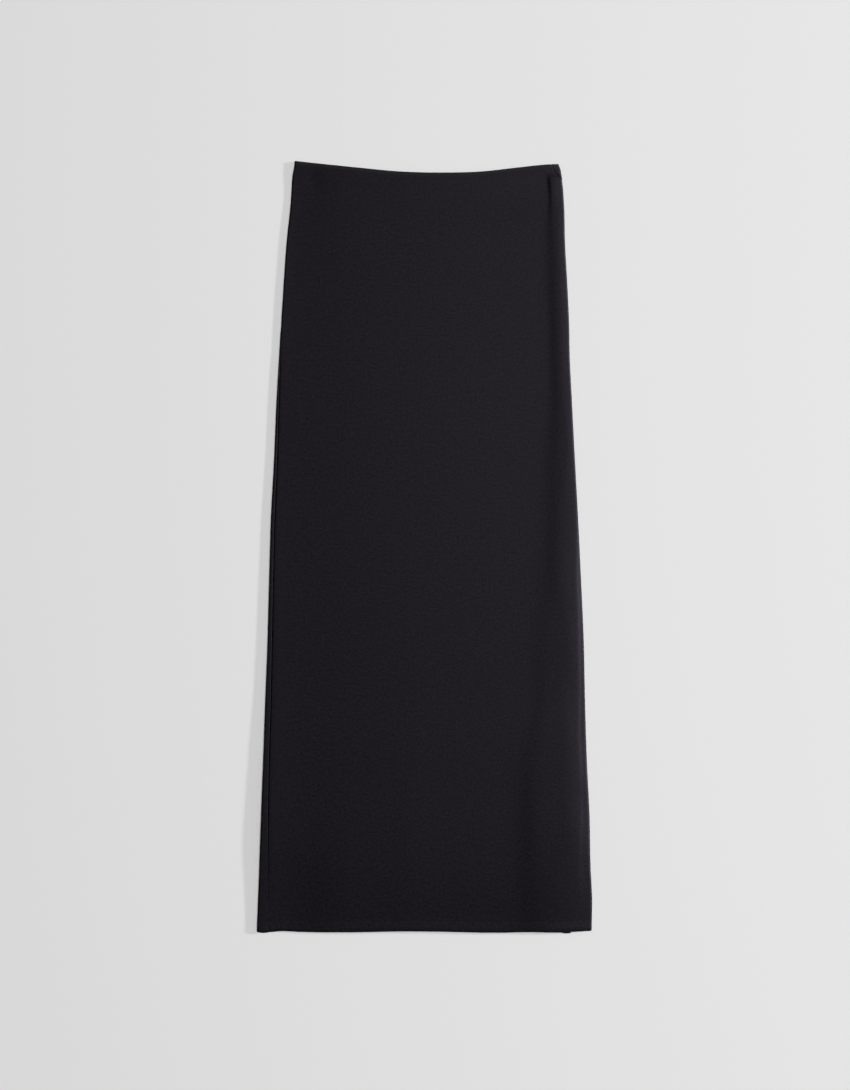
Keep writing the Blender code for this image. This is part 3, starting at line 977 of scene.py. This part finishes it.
def add_stitches(name, is_front):
    """Bars of thread along the stitch line of a panel's hem.

    A bar's middle line follows the cloth, and its radius is THREAD_RADIUS times the square
    root of sin(pi t) along it, and THREAD_TIP more, so that its ends are blunt points in the
    cloth. The front's bars run to the right and the back's to the left, so their rings turn
    opposite ways, and all faces point outwards.
    """
    share = np.array(1 - STITCH_LINE / LENGTH)
    width = float(panel_span(is_front, share)[1])
    count = int(width / STITCH) - STITCHES_LESS
    starts = (np.arange(count) + FIRST_STITCH) * STITCH / width
    t = np.linspace(0.0, 1.0, RINGS)
    across = starts[:, None] + t * STITCH * STITCH_SHOWN / width
    line = cloth_points(is_front, across, share, np.array(0.0), STITCH_SINK)
    radius = THREAD_RADIUS * np.sqrt(np.sin(math.pi * t)) + THREAD_TIP
    turn = np.linspace(0.0, 2 * math.pi, SIDES, endpoint=False) * (-1 if is_front else 1)
    ring = np.stack([0 * turn, np.cos(turn), np.sin(turn)], axis=-1)
    points = line[:, :, None, :] + radius[None, :, None, None] * ring[None, None]

    number = np.arange(RINGS * SIDES).reshape(RINGS, SIDES)
    after = np.roll(number, -1, axis=1)
    sides = np.stack([number[:-1], number[1:], after[1:], after[:-1]], axis=-1).reshape(-1, 4)
    caps = np.stack([number[0], number[-1][::-1]])
    shift = np.arange(count)[:, None, None] * RINGS * SIDES
    faces = (sides + shift).reshape(-1, 4).tolist() + (caps + shift).reshape(-1, SIDES).tolist()
    piece = add_mesh(name, points, faces, thread)
    print(name, "has", count, "stitches")
    return piece


front_stitches = add_stitches("front_hem_stitches", True)
back_stitches = add_stitches("back_hem_stitches", False)
for piece in (front_stitches, back_stitches):
    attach(piece, "root")

# %% [markdown]
# ## The size of the cut
#
# A sheet of cloth keeps its size however it lies. Laid out flat before sewing, a panel is a
# tall shape, narrow at the waist and wide at the hem, with the allowances at both ends. Its
# size could be read off a pattern.

# %% [markdown]
# ## Floor, light and camera
#
# A flat lay is seen straight from above, on a pale table, in soft light. Black knit shows
# its form by its gloss alone, so the lights are placed for that. A softbox hangs above the
# right side, and a broad side light stands half as high at the right: together they darken
# what leans to the left and lighten what leans to the right. In the room, that side light
# would be a wall of white reflectors, whose shadow is too soft to see. Here it is a sun
# that casts no shadow. A low light from the same side casts the short shadow at the left.
# Area lights could do all this, but a sun's light doesn't fall off across the table.

# %% The table
IMAGE_WIDE, IMAGE_HIGH = 850, 1090  # points
TO_REAL = 1.27 * MM       # real size that one point of the image covers on the table
# The table's colour goes from PALE_LEFT to PALE_RIGHT: painted light, lighter on the side the
# lights shine from.
PALE_LEFT = (0.740, 0.740, 0.740, 1.0)
PALE_RIGHT = (0.815, 0.815, 0.815, 1.0)
FLOOR_SIZE = 60.0         # metres, so that its edge is out of sight
FLOOR_Z = -0.3 * MM       # just below the skirt, clear of its stitches


def table_material():
    """Pale matt paper, painted a little lighter towards the right, the side the lights shine
    from: painted light across the table.
    """
    material, shader, add = new_material(
        "pale_table", {"Roughness": 1.0, "Specular IOR Level": 0.0})
    place = add("TexCoord").outputs["Object"]
    x = add("SeparateXYZ", {0: place}).outputs["X"]
    half = IMAGE_WIDE * TO_REAL / 2
    share = add("MapRange", {"Value": x, "From Min": -half, "From Max": half})
    colour = add("ValToRGB", {"Fac": share.outputs["Result"]})
    set_ramp(colour, ((0.0, PALE_LEFT), (1.0, PALE_RIGHT)))
    material.node_tree.links.new(colour.outputs["Color"], shader.inputs["Base Color"])
    return material


corner_signs = np.array([(-1, -1), (1, -1), (1, 1), (-1, 1)])
floor_corners = np.column_stack([corner_signs * FLOOR_SIZE / 2, np.full(4, FLOOR_Z)])
floor = add_mesh("floor", floor_corners, [(0, 1, 2, 3)], table_material())
print("table", FLOOR_SIZE, "m wide; the image covers", round(IMAGE_WIDE * TO_REAL, 2), "by",
      round(IMAGE_HIGH * TO_REAL, 2), "m of it")

# %% [markdown]
# Seen from the side, the table would end against the world's grey. A studio hangs a pale
# backdrop behind it. A brighter world could stand for that, but it would also light the
# skirt. So the backdrop is a dome that the camera sees, but that throws no light and no
# shadow.

# %% The backdrop
BACKDROP_RADIUS = 29.0
BACKDROP_FOOT = -0.1      # angle at which it starts, a little below the table
BACKDROP_ROUND, BACKDROP_UP = 48, 12  # steps round the dome and up it
BACKDROP_LOOK = {
    "Base Color": (0.0, 0.0, 0.0, 1.0),
    "Specular IOR Level": 0.0,
    "Emission Color": (0.56, 0.56, 0.56, 1.0),
    "Emission Strength": 1.0,
}


def add_backdrop():
    """A dome over the table: radius (cos v cos u, cos v sin u, sin v), its faces inwards."""
    u = np.linspace(0.0, 2 * math.pi, BACKDROP_ROUND + 1)[None, :]
    v = np.linspace(BACKDROP_FOOT, math.pi / 2, BACKDROP_UP + 1)[:, None]
    points = BACKDROP_RADIUS * np.stack(
        [np.cos(v) * np.cos(u), np.cos(v) * np.sin(u), np.sin(v) + 0 * u], axis=-1)
    index = np.arange(points[..., 0].size).reshape(points.shape[:2])
    material = new_material("pale_backdrop", BACKDROP_LOOK)[0]
    dome = add_mesh("backdrop", points, quads(index).tolist(), material)
    dome.visible_diffuse = False
    dome.visible_glossy = False
    dome.visible_shadow = False
    return dome


backdrop = add_backdrop()
print("backdrop", round(backdrop.dimensions.x), "m wide")

# %% Soft light
SOFTBOX_PLACE = (1.3, 0.60, 5.0)
SOFTBOX_SIZE = 1.6
SOFTBOX_POWER = 63.5
WORLD_WHITE = (1.0, 1.0, 1.0, 1.0)
WORLD_STRENGTH = 0.09
# The width of a sun's disc, and its two angles, are in degrees.
SUN_COLUMNS = ("strength", "disc", "azimuth", "elevation", "casts_shadow")
SUNS = {
    "side light": (2.36, 30.0, 8.0, 40.0, False),
    "low light": (2.05, 4.2, 8.0, 15.0, True),
}


def add_lamp(data, place, rotation):
    """A lamp object that shines along its own -Z."""
    lamp = bpy.data.objects.new(data.name, data)
    lamp.location = place
    lamp.rotation_euler = rotation
    bpy.context.scene.collection.objects.link(lamp)
    return lamp


softbox = bpy.data.lights.new("softbox", "AREA")
softbox.shape = "SQUARE"
softbox.size = SOFTBOX_SIZE
softbox.energy = SOFTBOX_POWER
add_lamp(softbox, SOFTBOX_PLACE, Vector(SOFTBOX_PLACE).to_track_quat("Z", "Y").to_euler())

for name, row in SUNS.items():
    light = dict(zip(SUN_COLUMNS, row))
    sun = bpy.data.lights.new(name, "SUN")
    sun.energy = light["strength"]
    sun.angle = math.radians(light["disc"])
    sun.use_shadow = light["casts_shadow"]
    add_lamp(sun, (0.0, 0.0, 1.0),  # a sun shines alike from any place
             (0.0, math.radians(90 - light["elevation"]), math.radians(light["azimuth"])))

world = bpy.data.worlds.new("studio")
world.use_nodes = True
background = world.node_tree.nodes["Background"]
background.inputs["Color"].default_value = WORLD_WHITE
background.inputs["Strength"].default_value = WORLD_STRENGTH
bpy.context.scene.world = world
bpy.context.scene.view_settings.view_transform = "Standard"
print("lights:", ", ".join(lamp.name for lamp in bpy.data.lights))

# %% Camera straight above
SENSOR = 36.0             # long side of the sensor, and the lens, in millimetres
LENS = 100.0
IMAGE_CENTRE = (425.0, 545.0)      # point of the image on the camera's axis
OUTLINE_CENTRE = (424.35, 547.25)  # point of the image that shows the origin
camera_data = bpy.data.cameras.new("camera")
camera_data.lens = LENS
camera_data.sensor_width = SENSOR
camera = bpy.data.objects.new("camera", camera_data)
camera.location = ((IMAGE_CENTRE[0] - OUTLINE_CENTRE[0]) * TO_REAL,
                   (OUTLINE_CENTRE[1] - IMAGE_CENTRE[1]) * TO_REAL,
                   IMAGE_HIGH * TO_REAL * LENS / SENSOR)
bpy.context.scene.collection.objects.link(camera)
bpy.context.scene.camera = camera
print("camera", round(camera.location.z, 2), "m above the table")
